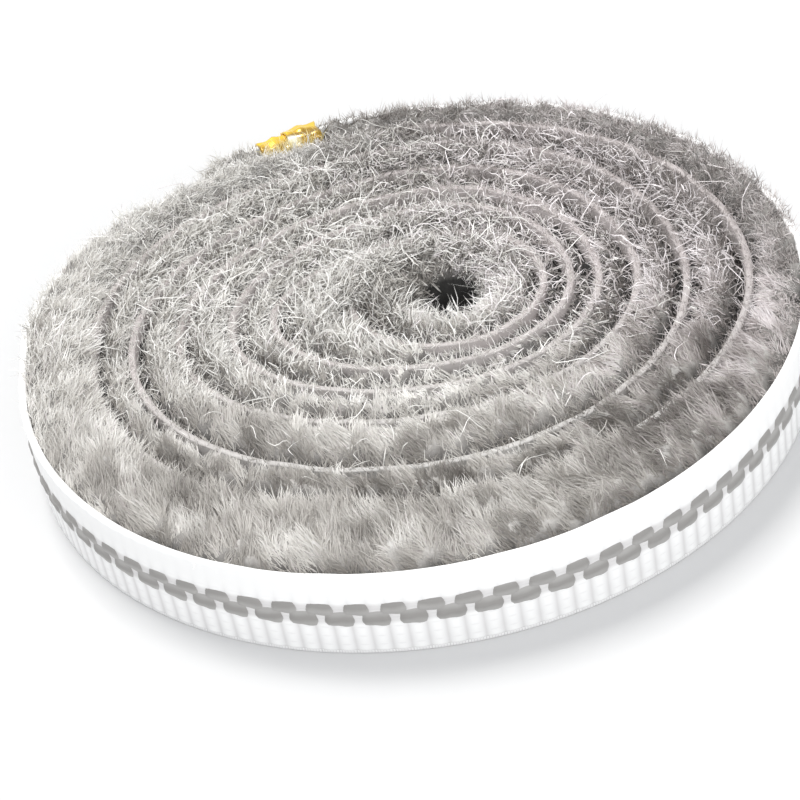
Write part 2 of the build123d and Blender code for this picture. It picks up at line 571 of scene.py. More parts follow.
def weave_relief(s, z):
    """How far the weave stands out from the tape's back."""
    ribs = np.abs(np.cos(math.pi * s / rib_pitch)) ** 0.9
    wefts = np.abs(np.sin(math.pi * z / weft_pitch)) ** 0.7
    lower = ebb(z, 3.0, 3.6)
    upper = ease(z, 5.8, 6.6)
    relief = 0.11 * ribs * (0.35 + 0.65 * wefts) * lower + 0.03 * ribs * upper
    band = (1 - lower) * (1 - upper)
    return relief + 0.04 * band


# The tape is finely made up to this quarter turn, and its map is folded into rows.
visible_stop = 4.25
tape_rows = 8
fine_tape = {"step": 0.27, "back_rows": 20, "face_rows": 3, "woven": True}
plain_tape = {"step": 1.1, "back_rows": 4, "face_rows": 2, "woven": False}


def tape_part(start, stop, step, back_rows, face_rows, woven):
    """Points of a stretch of the ribbon, its places along the strip and round its section."""
    q = stations(start, stop, step)
    place, heading = place_and_heading(q)
    section = tape_section(back_rows, face_rows)
    depth, height = section[:, 0], section[:, 1][None, :]
    s = along(q)[:, None]
    on_back = (np.arange(len(section)) < back_rows)[None, :]
    out = weave_relief(s, height) * on_back if woven else 0.03 * on_back
    depths = depth[None, :] + weave_depth * on_back - out
    wander = 0.08 * ripple(s, height, 9, 3) * (height > tape_width - 0.1)
    points = np.empty((len(q), len(section), 3))
    points[..., :2] = place[:, None, :] + inward(heading)[:, None, :] * depths[..., None]
    points[..., 2] = np.maximum(height + wander, tie_lift(q)[:, None])
    sides = norm(np.diff(section, axis=0, append=section[:1]), axis=1)
    girth = np.concatenate(([0.0], np.cumsum(sides)))
    return points.reshape(-1, 3), s[:, 0], girth


def side_maps(faces, s, girth, rows, first_row):
    """The map that the weave reads, in centimetres, and one that folds the strip into rows."""
    columns = len(girth) - 1
    row_of, column_of = faces // columns, faces % columns
    wrapped = np.zeros(faces.shape, dtype=bool)
    wrapped[:, :2] = column_of[:, :2] == 0
    first_column = column_of[:, 2:3] == 0
    column_of = np.where(wrapped & ~first_column, columns, column_of)
    length, around = s[row_of], girth[column_of]
    row_length = (s[-1] - s[0]) / rows
    middle = length.mean(axis=1, keepdims=True) - s[0]
    fold = np.minimum(np.floor(middle / row_length), rows - 1)
    across = 0.005 + 0.96 * (length - s[0] - fold * row_length) / row_length
    up = (first_row + fold + 0.02 + 0.96 * around / girth[-1]) / tape_rows
    folded = np.stack((np.clip(across, 0, 0.97), up), axis=-1).reshape(-1, 2)
    return np.stack((length, around), axis=-1).reshape(-1, 2) / map_unit, folded


def cap_map(columns):
    """Two small discs in the map's corner, for a stretch's end faces."""
    turn = np.linspace(0, 2 * math.pi, columns, endpoint=False)
    disc = np.stack((0.988 + 0.008 * np.cos(turn), 0.5 + 0.008 * np.sin(turn)), axis=-1)
    return np.concatenate((disc, disc))


def backing_tape():
    """The woven ribbon: finely made where its back shows, plainer where it is wound inside."""
    outer = tape_part(outer_end, visible_stop, **fine_tape)
    inner = tape_part(visible_stop - 0.01, inner_end, **plain_tape)
    sides, caps, maps = [], [], []
    for (points, s, girth), rows, first_row in ((outer, 3, 0), (inner, 5, 3)):
        columns = len(girth) - 1
        faces = grid_faces(len(s), columns)[:, ::-1]
        sides.append((points, faces))
        caps.append((points, end_caps(len(s), columns)[:, ::-1]))
        maps.append(side_maps(faces, s, girth, rows, first_row))
    points, quads = joined(sides)
    caps = joined(caps)[1]
    ends = [cap_map(group.shape[1]) for group in caps]
    weave, bake = ([*part, *ends] for part in zip(*maps))
    maps = {"strip": weave, "OFBake": bake}
    tape = mesh_piece("woven_backing_tape", points, quads + caps, tape_material(), "backing", maps)
    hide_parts("backing_tape")


def stitches():
    """Two staggered rows of grey yarn floats on the outermost turn's back."""
    length_steps, width_steps = 9, 5
    u = np.linspace(-1, 1, length_steps)[:, None]
    v = np.linspace(-1, 1, width_steps)[None, :]
    draw = default_rng(11)
    bow = np.sqrt(np.maximum(1 - np.abs(u) ** 4.5, 0))
    faces = grid_faces(length_steps, width_steps, closed=False)[:, ::-1]
    parts, maps = [], []
    for height, width, length, shift in stitch_rows:
        for middle in np.arange(stitch_start + shift * stitch_pitch, along(4.2), stitch_pitch):
            size = draw.uniform(0.94, 1.06)
            slant = draw.uniform(-0.05, 0.05)
            s = middle + u * length / 2 * size + 0 * v
            z = height + v * width / 2 * (0.45 + 0.55 * bow) + slant * u
            rise = 0.34 * bow * (1 - 0.7 * v * v) - 0.10
            rise += 0.03 * np.sin(5 * math.pi * v + 4 * u)
            place, heading = place_and_heading(np.interp(s, table_s, table_q))
            points = np.empty((length_steps, width_steps, 3))
            points[..., :2] = place + inward(heading) * (0.09 - rise)[..., None]
            points[..., 2] = z
            both = np.stack(np.broadcast_arrays(s, z), axis=-1).reshape(-1, 2) / map_unit
            parts.append((points.reshape(-1, 3), faces))
            maps.append(both[faces].reshape(-1, 2))
    mesh_piece("pile_stitches", *joined(parts), stitch_material(), "pile", {"strip": maps})


# The pile.


def pile_place(q, u):
    """Points across the pile at a share u of the way from the roots to the tips."""
    root, tips = pile_edges(q)
    return root + (tips - root) * u[..., None]


def pile_gap(q):
    """Width of the space that the pile fills, from the tape's face to the next turn."""
    root, tips = pile_edges(q)
    return norm(tips - root, axis=-1)


def near_tie(place):
    """1 where the pile is pressed down beside the tie, 0 away from it."""
    offset = place - tie_origin[:2]
    across = np.abs(offset @ tie_along[:2])
    out = offset @ tie_out[:2]
    beside = ebb(across, half_span + 0.1, half_span + 1.0)
    return beside * ease(out, window_inside - 3.6, window_inside - 0.6)


def at_outline(q):
    """1 where the pile makes the roll's outline at the back, for the camera; 0 elsewhere."""
    return np.maximum(stretch(q, 3.15, 3.5, 4.0, 4.15), ebb(q, 0.9, 1.25))


def crown(q, u):
    """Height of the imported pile's upper side over the tape's edge."""
    gap = pile_gap(q)
    depth, over = u * gap, (1 - u) * gap
    s = along(q)
    place = pile_place(q, u)
    outline = at_outline(q)
    inner = q < last_turn
    outer_turn = q < outer_turn_stop
    groove = 1.5 - 0.5 * outer_turn + 0.9 * bare(q) * ~outer_turn + 0.4 * stretch(q - 4, *ragged)
    groove = groove * (1 - 0.75 * stretch(q, *left_edge)) * (1 - 0.6 * stretch(q, *right_edge))
    groove = groove * (1 - 0.4 * ease(-place[..., 0], 18, 30))
    groove = -groove * np.exp(-((depth / 1.0) ** 2)) * (1 - 0.95 * outline)
    fall = 0.9 * ebb(over, 0.2, 2.2) * inner * (1 - 0.8 * stretch(q, *ragged))
    rise = -0.05 + 0.8 * ease(depth, 0.6, 3.4) - fall
    high = (0.45 + 0.55 * (q > 2)) * outline * ebb(depth, 1.5, 5.0)
    given = np.where(inner, bare(q + 4), 0.0) * (1 - 0.6 * stretch(q + 4, *soft_line))
    gave = -1.25 * np.exp(-((over / 0.75) ** 2)) * given
    near = ease(-place[..., 1], -2.5, 2.0)
    sag = np.where(inner, 0.0, -(0.8 + 2.8 * near) * ease(u, 0.42 - 0.3 * near, 1.0) ** 1.3)
    swell = 0.22 * ripple(s, depth * 0.5, 9.0, 21)
    tufts = 0.36 * ripple(s, depth, 3.0, 22) + 0.18 * ripple(s, depth, 1.4, 23)
    pressed = -1.1 * near_tie(place)
    return groove + rise + high + gave + sag + swell + tufts + pressed


def pile_body():
    """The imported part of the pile, a ribbon as wide as the space between the turns."""
    q = stations(outer_end, inner_end, 0.62)
    across, sink = 14, 0.35
    u_top = np.linspace(0, 1, across)
    u_bottom = np.linspace(1, 0, 6)
    gap = pile_gap(q)[:, None]
    u = np.concatenate((u_top, [1.0], u_bottom, [0.0]))
    qq, uu = np.broadcast_arrays(q[:, None], u[None, :])
    z_top = tape_width - sink + crown(qq[:, :across], uu[:, :across])
    z_low = 0.25 + 0.12 * ripple(along(q)[:, None], u_bottom[None, :] * gap, 2.0, 31)
    z_low = np.maximum(z_low, tie_lift(q)[:, None] + 0.1)
    middle = np.full((len(q), 1), tape_width / 2)
    z = np.concatenate((z_top, middle, z_low, middle), axis=1)
    points = np.empty((*z.shape, 3))
    points[..., :2] = pile_place(qq, uu)
    points[..., 2] = z
    rows, columns = z.shape
    groups = [grid_faces(rows, columns), end_caps(rows, columns)]
    body = mesh_piece("pile_body", points.reshape(-1, 3), groups, pile_body_material(), "pile")
    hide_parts("pile")


def clump_of(a, b, draw_seed):
    """For points in a plane, the nearest centre of a jittered grid: its place and its number."""
    cell_a, cell_b = np.floor(a).astype(int), np.floor(b).astype(int)
    best = np.full(a.shape, np.inf)
    centre = np.zeros((*a.shape, 2))
    number = np.zeros(a.shape, dtype=np.int64)
    table = default_rng(draw_seed).random((clump_numbers, 2))
    for step_a in (-1, 0, 1):
        for step_b in (-1, 0, 1):
            i, j = cell_a + step_a, cell_b + step_b
            key = (i * clump_mix[0] ^ j * clump_mix[1]) % clump_numbers
            at = np.stack((i + table[key, 0], j + table[key, 1]), axis=-1)
            distance = (at[..., 0] - a) ** 2 + (at[..., 1] - b) ** 2
            nearer = distance < best
            best = np.where(nearer, distance, best)
            centre = np.where(nearer[..., None], at, centre)
            number = np.where(nearer, key, number)
    return centre, number


def scatter(count, q_from, q_to, draw):
    """Random places on the pile between two quarter turns, evenly spread over its area."""
    q_table = stations(q_from, q_to, 0.5)
    area = np.concatenate(([0.0], np.cumsum(pile_gap(q_table)[1:] * np.diff(along(q_table)))))
    q = np.interp(draw.uniform(0, area[-1], count), area, q_table)
    return q, draw.uniform(0, 1, count)


def fibres(name, strands, kept, draw, segments, loose=3.0, smooth=0.0):
    """Joined ribbons that taper from root to tip, each bent and waved along its length.

    The strands are root, lean, length, bend, wave, width, shade and tint, for each fibre or
    for all; kept says which are made. Where loose is small the ribbons all face the front,
    and where smooth is 1 their roots are as pale as their tips; elsewhere the roots are
    darkened as painted shade.
    """
    parts = []
    for part in (*strands, loose, smooth):
        parts.append(np.broadcast_to(part, (len(kept), *np.shape(part)[1:]))[kept])
    root, lean, length, bend, wave, width, shade, tint, loose, smooth = parts
    count = len(root)
    t = np.linspace(0, 1, segments + 1)
    steps = t[None, :, None]
    phase = draw.uniform(0, 2 * math.pi, count)[:, None]
    sway = np.sin(phase + 6.5 * t[None, :]) - np.sin(phase)
    line = root[:, None, :] + length[:, None, None] * (
        lean[:, None, :] * steps + bend[:, None, :] * steps**2
    )
    line = line + wave[:, None, :] * sway[..., None]
    facing = draw.normal(size=(count, 3)) * loose[:, None] + (0.0, -0.8, 0.6)
    side = unit(np.cross(lean, facing))
    taper = np.sqrt(1 - t[:-1] * 0.7)
    half = side[:, None, :] * (width[:, None] / 2 * taper[None, :])[..., None]
    corners = 2 * segments + 1
    points = np.empty((count, corners, 3))
    points[:, 0:-1:2] = line[:, :-1] - half
    points[:, 1:-1:2] = line[:, :-1] + half
    points[:, -1] = line[:, -1]
    points[..., 2] = np.maximum(points[..., 2], 0.02)
    triangles = []
    for k in range(segments - 1):
        low = 2 * k
        triangles += [(low, low + 1, low + 3), (low, low + 3, low + 2)]
    triangles.append((corners - 3, corners - 2, corners - 1))
    triangles = np.array(triangles)
    faces = (np.arange(count)[:, None, None] * corners + triangles[None]).reshape(-1, 3)
    run = np.concatenate((np.repeat(t[:-1], 2), [1.0]))
    at_root = 0.06 + 0.5 * smooth[:, None]
    across = (tint[:, None] + at_root + (0.94 - at_root) * run[None, :]) / 3
    v_shift = np.concatenate((np.tile((-0.006, 0.006), segments), [0.0]))
    up = np.clip(shade, 0.02, 0.98)[:, None] + v_shift[None, :]
    uv = np.stack(np.broadcast_arrays(across, up), axis=-1)
    maps = {"OFBake": [uv[:, triangles].reshape(-1, 2)]}
    return mesh_piece(name, points.reshape(-1, 3), [faces], yarn, "pile", maps)


# Tints: warm, cool for painted shade at the right, and gold for a painted reflection of the foil.
WARM, COOL_SHADE, GOLD_REFLECTION = range(3)
UNDER, PLAIN, CURLY = range(3)
tuft_length = 2.6
tuft_width = 1.9
root_depth = 0.45

# Tufts are numbered by their place on a grid, mixed into this many numbers.
clump_numbers = 4096
clump_mix = (73856093, 19349663)

# Where the pile is darker or paler: place, spread and change in brightness. The first two are
# painted shade where the pile slopes down into the bore.
tone_spots = (
    (-3.5, 3.0, 8, -0.55),
    (-7.0, 0.5, 22, -0.78),
    (1.0, 7.0, 24, -0.48),
    (6.0, -4.0, 20, 0.30),
    (-3.0, -13.0, 60, 0.19),
    (-22.0, 2.0, 60, 0.32),
    (18.0, 24.0, 90, 0.24),
    (-2.0, 27.0, 90, -0.28),
    (-31.0, -17.0, 110, -0.24),
    (-31.0, 12.0, 90, -0.12),
)


def pile_tone(place, number, draw, spread):
    """Brightness and tint of fibres: warm and pale at the front; cooler and darker behind, as
    painted shade, and paler at the far left, as painted light.
    """
    x, y = place[:, 0], place[:, 1]
    count = len(place)
    behind_share = ease(y + 0.55 * x, 6, 26)
    clump_tone = default_rng(77).normal(size=clump_numbers)[number]
    front = ease(-y, 10, 28)
    # Painted shade behind and towards the right; below, darker at the front and painted light at
    # the far left.
    tone = 0.78 - 0.30 * behind_share - 0.17 * ease(x, 2, 24)
    tone = tone - front * (0.47 + 0.06 * ease(x, 0, 20)) + 0.14 * ease(-x, 22, 40)
    for spot_x, spot_y, spread_out, change in tone_spots:
        tone += change * np.exp(-((x - spot_x) ** 2 + (y - spot_y) ** 2) / spread_out)
    tone = tone + 0.06 * ripple(x, y, 13, 61) + 0.08 * ripple(x, y, 5, 62) * (0.4 + behind_share)
    tone += 0.13 * ripple(x + 0.5 * y, 1.6 * y, 7, 63) * front
    tone = tone + (0.08 - 0.03 * front) * clump_tone + spread * draw.normal(size=count)
    # A cool tint that goes with the painted shade at the right.
    cool_shade_share = ease(x + 0.35 * y, -8, 24) * 0.9 + 0.05
    return tone, np.where(draw.random(count) < cool_shade_share, COOL_SHADE, WARM)


def top_fibres(name, count, q_from, q_to, seed, length_range, width, segments, kind):
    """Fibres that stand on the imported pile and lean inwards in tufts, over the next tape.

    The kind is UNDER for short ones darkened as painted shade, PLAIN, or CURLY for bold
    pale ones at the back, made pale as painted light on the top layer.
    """
    under, curly = kind == UNDER, kind == CURLY
    draw = default_rng(seed)
    q, u = scatter(count, q_from, q_to, draw)
    place = pile_place(q, u)
    x, y = place.T
    gap = pile_gap(q)
    depth, over, s = u * gap, (1 - u) * gap, along(q)
    heading = place_and_heading(q)[1]
    into = inward(heading)
    outline = at_outline(q)
    crisp = ease(y, -18, -1) * (1 - 0.4 * ease(-x, 26, 38))
    front = 1 - crisp
    inner = q < last_turn
    next_bare = np.where(inner, bare(q + 4), 0.0)
    tips_up, under_tips = stretch(q, *ragged), stretch(q - 4, *ragged)
    close_left, pale_right = stretch(q, *left_edge), stretch(q, *right_edge)
    fluff = stretch(q + 4, *soft_line)
    towards_bore = np.where(inner, 0.0, ease(u, 0.3, 0.9))
    at_bore = np.where(inner, 0.0, ease(u, 0.5, 0.95))
    centre, number = clump_of(s / tuft_length, depth / tuft_width, 40)
    clump_draw = default_rng(50).normal(size=(clump_numbers, 3))[number]

    lean_in = 0.35 + 0.35 * ease(depth, 0.2, 2.0)
    lean_in += (0.55 - 1.5 * next_bare) * ebb(over, 0.3, 1.6) * inner
    lean_in -= 0.7 * outline * ebb(depth, 0.3, 3.0)
    at_roots = ebb(depth, 0.2, 0.9) * (1 - bare(q)) * (1 - outline)
    lean_in -= 0.9 * at_roots * (draw.random(count) < 0.5) * (1 - under_tips)
    lean_in += 0.6 * towards_bore
    lean_on = 0.18 + 0.4 * front
    wild = (0.20 + 0.28 * crisp) * (1.3 if under else 1.0) * (1 - 0.35 * outline)
    wild *= 1 + 0.8 * tips_up * ebb(over, 0.2, 2.4)
    own = draw.normal(size=(count, 3)) * wild[:, None]
    lean = np.zeros((count, 3))
    lean[:, :2] = into * (lean_in + 0.22 * clump_draw[:, 0])[:, None]
    lean[:, :2] += heading * (lean_on + 0.28 * clump_draw[:, 1])[:, None]
    flat = 0.5 * ebb(over, 0.3, 1.8) * (1 - next_bare) * inner * (1 - 0.8 * tips_up)
    lean[:, 2] = 0.95 - 0.35 * towards_bore - flat - 0.25 * curly
    lean = unit(lean + own)
    lean[:, 2] = np.maximum(lean[:, 2], 0.02)

    short = 0.5 + 0.5 * ease(depth, 0.3, 1.5)
    short = np.maximum(short, np.maximum(0.72 * outline, close_left)) * (1 - 0.38 * outline)
    length = draw.uniform(*length_range, count) * (1 + 0.12 * clump_draw[:, 2]) * short
    length *= 1 - 0.6 * at_bore
    length *= 1 - 0.4 * inner * (1 - tips_up) * ebb(over, 0.2, 1.5)
    from_axis = norm(place, axis=1)
    near_rim = ease(-y, -0.5, 2.0) * ebb(from_axis, 3.5, 6.5)
    length = length * (1 - 0.55 * near_rim) * (1 - 0.3 * near_tie(place))
    tuft = 0.26 + 0.16 * front
    pull = np.zeros((count, 3))
    pull[:, :2] = heading * ((centre[:, 0] * tuft_length - s) * tuft)[:, None]
    pull[:, :2] += into * ((centre[:, 1] * tuft_width - depth) * tuft)[:, None]
    bend = draw.normal(size=(count, 3)) * (0.16 + 0.2 * crisp)[:, None] + pull / length[:, None]
    bend[:, 2] -= 0.1
    wave = draw.normal(size=(count, 3)) * (0.03 + 0.08 * crisp + 0.22 * curly)[:, None]
    inwards = -np.einsum("ij,ij->i", place, (lean + bend)[:, :2]) / from_axis
    to_rim = from_axis - bore_radius + 0.3
    length *= np.clip(to_rim / np.maximum(inwards * length, 1e-6), 0.2, 1)

    tone, tint = pile_tone(place, number, draw, 0.025 + 0.125 * crisp)
    # Painted light and shade between layers: the curls on top paler, the plain fibres below darker.
    tone = tone + 0.44 * curly - 0.34 * crisp * (1 - curly) * (1 - 0.7 * outline)
    # Painted shade in the valley by each turn's roots, less at the outline, the left and the right
    # edge.
    painted_valley_shade = (0.28 + 0.36 * crisp + 0.12 * under_tips) * (1 - outline) * (1 - 0.9 * close_left)
    painted_valley_shade = painted_valley_shade * (1 - 0.7 * pale_right) * (1 - 0.35 * ease(-x, 18, 30))
    tone = tone - painted_valley_shade * ebb(depth, 0.3, 2.4) + 0.16 * pale_right
    tone += 0.22 * fluff * ebb(over, 0.3, 1.3)
    # Painted light on the crowns of the turns.
    tone += 0.08 * crisp * ease(depth, 1.5, 3.0)
    tone -= 0.3 * (ease(y, -26, -4) - crisp)
    tone += 0.03 * tips_up * ebb(over, 0.2, 2.4)
    # Painted shade on the under fibres.
    tone -= (0.06 + 0.34 * crisp) * under
    # Painted shade where the pile slopes down into the bore.
    tone -= 0.35 * at_bore * (y > -0.5)
    # Painted light on the left of the outline.
    tone += 0.22 * outline * ease(-x, 8, 26)
    widths = width * (1 + 0.1 * crisp) * (1 - 0.32 * outline) * draw.uniform(0.8, 1.2, count)

    root = np.column_stack((place, tape_width + crown(q, u) - root_depth))
    kept = clear_of_tie(root) & (from_axis > bore_radius + 0.25)
    thin = 0.6 * crisp + 0.35 * bare(q)
    thin = thin * ebb(depth, 0.5, 1.1) * (1 - outline) * (1 - close_left)
    thin += 0.8 * next_bare * ebb(over, 0.3, 0.8) * (1 - 0.7 * fluff)
    kept &= draw.random(count) > thin
    if curly:
        kept &= draw.random(count) < crisp
    strands = (root, lean, length, bend, wave, widths, tone, tint)
    return fibres(name, strands, kept, draw, segments, 0.3 + 2.0 * crisp, front)


# Layers of standing fibres: name, count, first and last quarter turn, seed, lengths, width,
# segments and kind.
fibre_layers = (
    ("pile_under", 52000, outer_end, inner_end, 100, (0.9, 1.5), 0.13, 2, UNDER),
    ("pile_outer", 38000, outer_end, 5.0, 101, (1.3, 2.4), 0.09, 3, PLAIN),
    ("pile_middle", 28000, 5.0, 11.0, 102, (1.2, 2.1), 0.1, 3, PLAIN),
    ("pile_inner", 22000, 11.0, inner_end, 103, (1.1, 2.0), 0.1, 3, PLAIN),
    ("pile_curls", 30000, 3.0, inner_end, 107, (1.6, 2.9), 0.115, 5, CURLY),
)


def stray_fibres(name, count, seed):
    """Long pale curly fibres that lie loose over the middle and the back of the roll."""
    draw = default_rng(seed)
    q, u = scatter(count, 0.0, inner_end, draw)
    place = pile_place(q, u)
    chance = 0.12 + 0.88 * ease(place[:, 1], -14, 6)
    chance *= 1 - 0.9 * ease(norm(place, axis=1), 26, 32)
    chance *= 1 - 0.6 * ease(place[:, 0], 8, 22)
    kept = draw.random(count) < chance
    q, u, place = q[kept], u[kept], place[kept]
    count = len(q)
    z = tape_width + crown(q, u) + 0.1
    lean = draw.normal(size=(count, 3))
    lean[:, 2] = np.abs(lean[:, 2]) * 0.7 + 0.35
    lean = unit(lean)
    length = draw.uniform(1.8, 3.6, count)
    bend = draw.normal(size=(count, 3)) * 0.5
    bend[:, 2] = -0.5 * np.abs(draw.normal(size=count)) - 0.1
    wave = draw.normal(size=(count, 3)) * 0.3
    tone, tint = pile_tone(place, np.zeros(count, dtype=int), draw, 0.08)
    root = np.column_stack((place, z))
    kept = clear_of_tie(root) & (norm(place, axis=1) > bore_radius + 3.0)
    strands = (root, lean, length, bend, wave, 0.12, tone + 0.35, tint)
    return fibres(name, strands, kept, draw, 6)


def fringe_fibres(name, seed):
    """Fibres at the strip's free end, over the tie's near edge and round the bore's rim."""
    draw = default_rng(seed)
    groups = []

    count = 1500
    u, z = draw.uniform(0, 1, count), draw.uniform(0.8, tape_width + 0.6, count)
    q = outer_end + draw.uniform(0.0, 0.02, count)
    place, heading = pile_place(q, u), place_and_heading(q)[1]
    lean = draw.normal(size=(count, 3)) * 0.45
    lean[:, :2] -= heading * 0.9
    lean[:, 2] += 0.5 * (z / tape_width)
    place = np.column_stack((place, z))
    groups.append((place, unit(lean), draw.uniform(0.9, 2.2, count), 0.5, WARM))

    # Pale gold fibres over the tie's near edge: the foil's reflection on them, painted.
    count = 230
    across = draw.uniform(-half_span, half_span, count)
    place = tie_origin + tie_along * across[:, None]
    place = place + tie_out * draw.uniform(window_inside - 1.1, window_inside + 0.2, count)[:, None]
    place[:, 2] = tape_width + draw.uniform(-0.6, 0.1, count)
    lean = draw.normal(size=(count, 3)) * 0.45 + tie_out * 0.75
    lean[:, 2] += 0.9
    groups.append((place, unit(lean), draw.uniform(0.8, 1.9, count), 1.0, GOLD_REFLECTION))

    count = 300
    turn = draw.uniform(-0.85 * math.pi, 0.2 * math.pi, count)
    outwards = np.column_stack((np.cos(turn), np.sin(turn), np.zeros(count)))
    place = outwards * (bore_radius + draw.uniform(0.0, 0.5, count))[:, None]
    place[:, 2] = tape_width - 2.2 - draw.uniform(0.0, 0.9, count)
    lean = draw.normal(size=(count, 3)) * 0.35 - outwards * 0.75
    lean[:, 2] += 0.25
    groups.append((place, unit(lean), draw.uniform(0.3, 1.0, count), 0.85, WARM))

    counts = [len(group[0]) for group in groups]
    *parts, shades, tints = zip(*groups)
    root, lean, length = (np.concatenate(part) for part in parts)
    count = len(root)
    shade = np.repeat(shades, counts) + 0.12 * draw.normal(size=count)
    bend = draw.normal(size=(count, 3)) * 0.3
    wave = draw.normal(size=(count, 3)) * 0.08
    strands = (root, lean, length, bend, wave, 0.085, shade, np.repeat(tints, counts))
    return fibres(name, strands, np.full(count, True), draw, 3)


def edge_fibres(name, count, seed):
    """Short fuzz that lies over the tape's upper edge between the turns."""
    draw = default_rng(seed)
    s = draw.uniform(along(outer_end), along(inner_end), count)
    q = np.interp(s, table_s, table_q)
    chance = 1 - np.where(q < 3.2, 1.0, 0.55) * bare(q)
    q = q[draw.random(count) < chance * ((q < 1.0) | (q > 3.1))]
    count = len(q)
    place, heading = place_and_heading(q)
    depth = draw.uniform(-0.1, tape_thickness + 0.1, count)
    place = place + inward(heading) * depth[:, None]
    rim = at_outline(q)
    lean = draw.normal(size=(count, 3)) * 0.6
    lean[:, :2] += inward(heading) * (0.3 - 0.5 * rim)[:, None]
    lean[:, 2] = np.abs(lean[:, 2]) + 0.35 + 0.5 * rim
    root = np.column_stack((place, np.full(count, tape_width - 0.15)))
    tone, tint = pile_tone(place, np.zeros(count, dtype=int), draw, 0.12)
    # Painted light on the left of the outline.
    tone = tone - 0.1 + 0.3 * rim * ease(-place[:, 0], 8, 26)
    length = draw.uniform(0.5, 1.2, count)
    bend = draw.normal(size=(count, 3)) * 0.4
    strands = (root, unit(lean), length, bend, np.zeros((count, 3)), 0.09, tone, tint)
    return fibres(name, strands, clear_of_tie(root), draw, 2)


# The tie's own plane stands on the outermost turn's radius.
tie_turn = math.radians(90 + tie_angle)
tie_out = np.array((math.cos(tie_turn), math.sin(tie_turn), 0.0))
tie_along = np.array((math.sin(tie_turn), -math.cos(tie_turn), 0.0))
tie_origin = np.array((*outer_centre, 0.0))
lap_shift = (tie_width - tie_lap) / 2
half_span = lap_shift + tie_width / 2


def second_turn_distance(angle):
    """How far the second turn's back stands out in the tie's plane."""
    centre_x, centre_y, x_radius, y_radius = quarters[3, :4]
    turn = math.radians(90 + angle)
    x, y = centre_x + x_radius * math.cos(turn), centre_y + y_radius * math.sin(turn)
    return (x - outer_centre[0]) * tie_out[0] + (y - outer_centre[1]) * tie_out[1]


span_angle = math.degrees(math.atan2(half_span, outer_radius))
second_turn_reach = max(
    second_turn_distance(tie_angle - span_angle), second_turn_distance(tie_angle + span_angle)
)
tie_stack = 2 * tie_thickness
window_inside = second_turn_reach + 2 * tie_clearance + tie_stack
window_outside = outer_radius + 2 * tie_clearance
window_bottom = tie_floor_gap + tie_stack
window_top = tape_width + tie_height_over_tape
fold_start = float(tie_origin @ tie_out) + window_inside


def clear_of_tie(root):
    """True where a fibre's root isn't under the tie."""
    offset = root - tie_origin
    across = np.abs(offset @ tie_along)
    out = offset @ tie_out
    under = (across < half_span - 0.1) & (out > window_inside - 0.5) & (out < window_outside + 1)
    return ~under


def rounded_window(grow, steps):
    """Points round the window in the tie's plane, grown on every side, evenly spaced."""
    radius = tie_corner_radius + grow
    x_low, x_high = window_inside - grow + radius, window_outside + grow - radius
    y_low, y_high = window_bottom - grow + radius, window_top + grow - radius
    corners = ((x_high, y_high, 0), (x_low, y_high, 90), (x_low, y_low, 180), (x_high, y_low, 270))
    outline = []
    for x, y, start in corners:
        for turn in np.radians(np.linspace(start, start + 90, 8)):
            outline.append((x + radius * math.cos(turn), y + radius * math.sin(turn)))
    outline.append(outline[0])
    outline = np.array(outline)
    lengths = np.concatenate(([0.0], np.cumsum(norm(np.diff(outline, axis=0), axis=1))))
    at = np.linspace(0, lengths[-1], steps, endpoint=False)
    return np.column_stack([np.interp(at, lengths, outline[:, k]) for k in range(2)])


def tie_lap_mesh(shift, lift, seed):
    """One lap of foil round the strip: a creased band with the wire's ridge along its middle."""
    around, across = 120, 13
    inner = rounded_window(lift, around)
    outer = rounded_window(lift + tie_thickness, around)
    widths = np.linspace(-tie_width / 2, tie_width / 2, across)
    travel = np.linspace(0, lap_girth, around, endpoint=False)
    grid_travel, grid_width = np.meshgrid(travel, widths, indexing="ij")
    crease = 0.5 + 0.5 * ripple(grid_travel, grid_width, 2.8, seed)
    crease += 0.25 * ripple(grid_travel, grid_width * 0.3, 1.4, seed + 1)
    ridge = np.exp(-((grid_width / 0.5) ** 2))
    thin = np.clip(0.2 + 0.45 * crease + 0.55 * ridge, 0.1, 1.3)
    edge_wave = 0.18 * ripple(travel, 0 * travel, 3.0, seed + 2)
    sides = []
    for share, keep in ((thin, 1), (np.zeros_like(thin), -1)):
        section = inner[:, None, :] + (outer - inner)[:, None, :] * share[..., None]
        points = tie_origin + section[..., :1] * tie_out
        points[..., 2] += section[..., 1]
        shifts = shift + grid_width * (1 + edge_wave[:, None] / tie_width)
        points = points + shifts[..., None] * tie_along
        sides.append(points[:, ::keep])
    ring = np.concatenate(sides, axis=1)
    ring = np.concatenate((ring, ring[:1]), axis=0)
    return ring.reshape(-1, 3), grid_faces(around + 1, 2 * across)


def tie_tail_mesh():
    """The tie's two ends twisted together, along the tape's back."""
    steps, around = 60, 16
    share = np.linspace(0, 1, steps)
    twist = 2 * math.pi * tail_twists * share
    rise = np.minimum(1, share / tail_spring)
    stand_off = tie_stack + rise * (tail_width + tail_thickness) / 2
    angle = np.linspace(0, 2 * math.pi, around, endpoint=False)
    pinch = 1 + 0.25 * np.cos(2 * angle)[None, :] + 0.05 * np.sin(9 * share)[:, None]
    wide = tail_width / 2 * np.sin(angle)[None, :] * pinch * 0.8
    thick = tail_thickness / 2 * np.cos(angle)[None, :] * pinch
    x = window_outside + stand_off[:, None] + thick * np.cos(twist)[:, None]
    x = x - wide * np.sin(twist)[:, None]
    middle = (window_bottom + window_top) / 2
    z = middle + thick * np.sin(twist)[:, None] + wide * np.cos(twist)[:, None]
    place = half_span - tie_lap - share * tail_length
    points = tie_origin + x[..., None] * tie_out + place[:, None, None] * tie_along
    points[..., 2] = z
    return points.reshape(-1, 3), grid_faces(steps, around)


